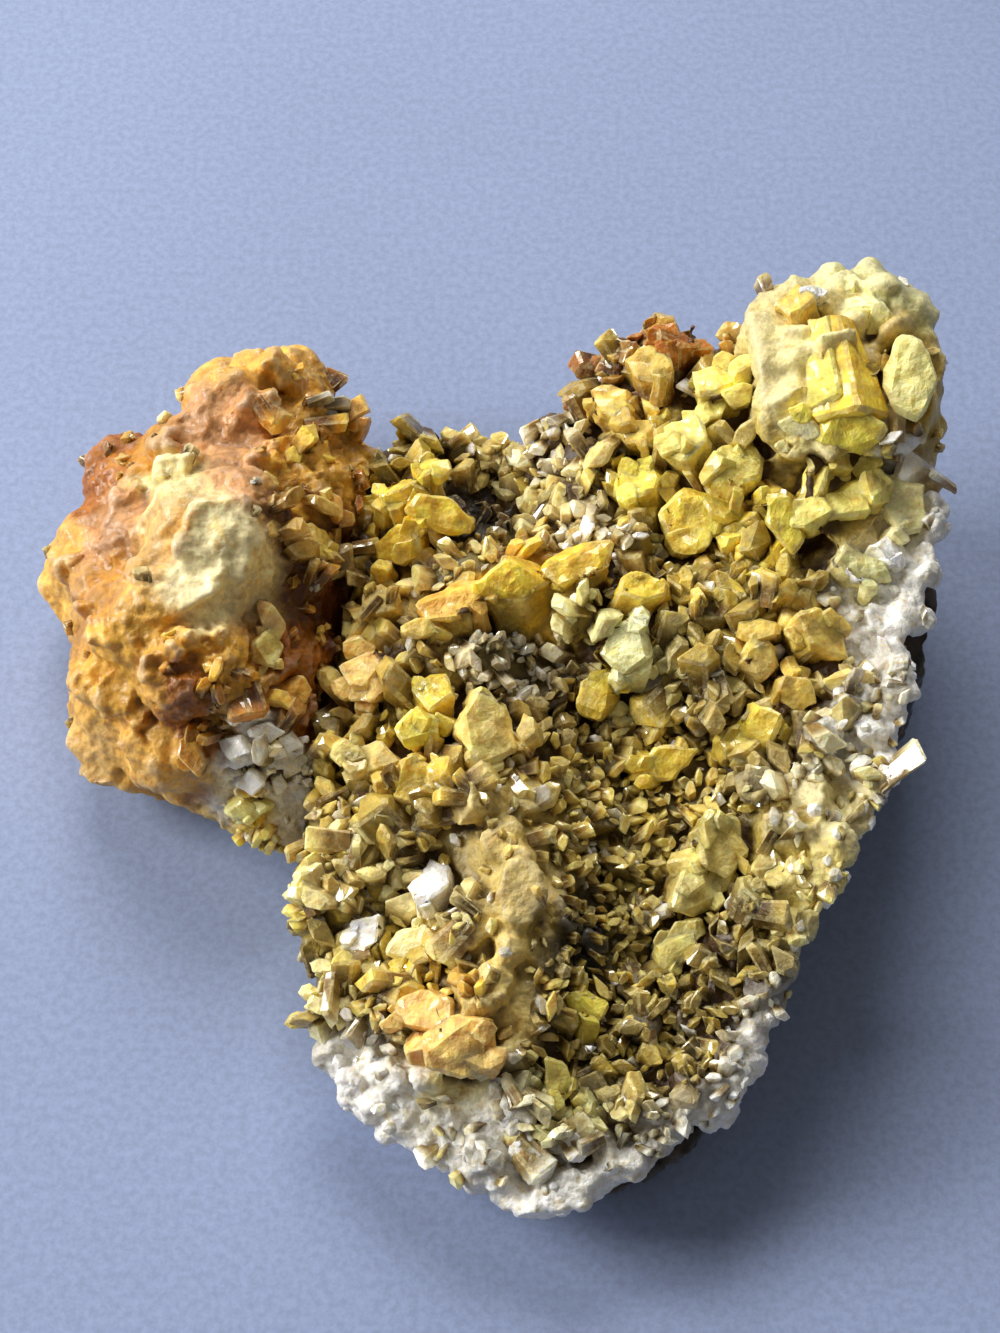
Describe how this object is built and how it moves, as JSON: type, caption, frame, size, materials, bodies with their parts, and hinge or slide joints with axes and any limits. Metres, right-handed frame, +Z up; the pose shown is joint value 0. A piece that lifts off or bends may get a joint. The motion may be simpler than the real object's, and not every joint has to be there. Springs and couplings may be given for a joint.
{
  "type": "pyromorphite mineral specimen",
  "caption": "Small-cabinet mineral specimen: a sloping crust of stubby yellow-green crystals with a honey-stained rounded lobe, on a wedge of dark gossan with a flat base.",
  "frame": {"origin": "middle of the footprint, on the flat base", "axes": "+Z up from the flat base, +X to the right and +Y to the back as the crystals face the viewer; the crust climbs towards +X and +Y"},
  "size_m": [0.0798, 0.0783, 0.0301],
  "materials": {
    "dark_gossan": "matt, earthy, dark brown to black",
    "olive_yellow_crystal": "waxy to resinous, translucent, olive, yellow and tan crystals",
    "honey_crystal": "waxy, iron-stained honey and ochre"
  },
  "bodies": {
    "root": {"matrix": "dark_gossan", "crystal_crust": "olive_yellow_crystal", "honey_lobe": "honey_crystal"}
  },
  "joints": []
}
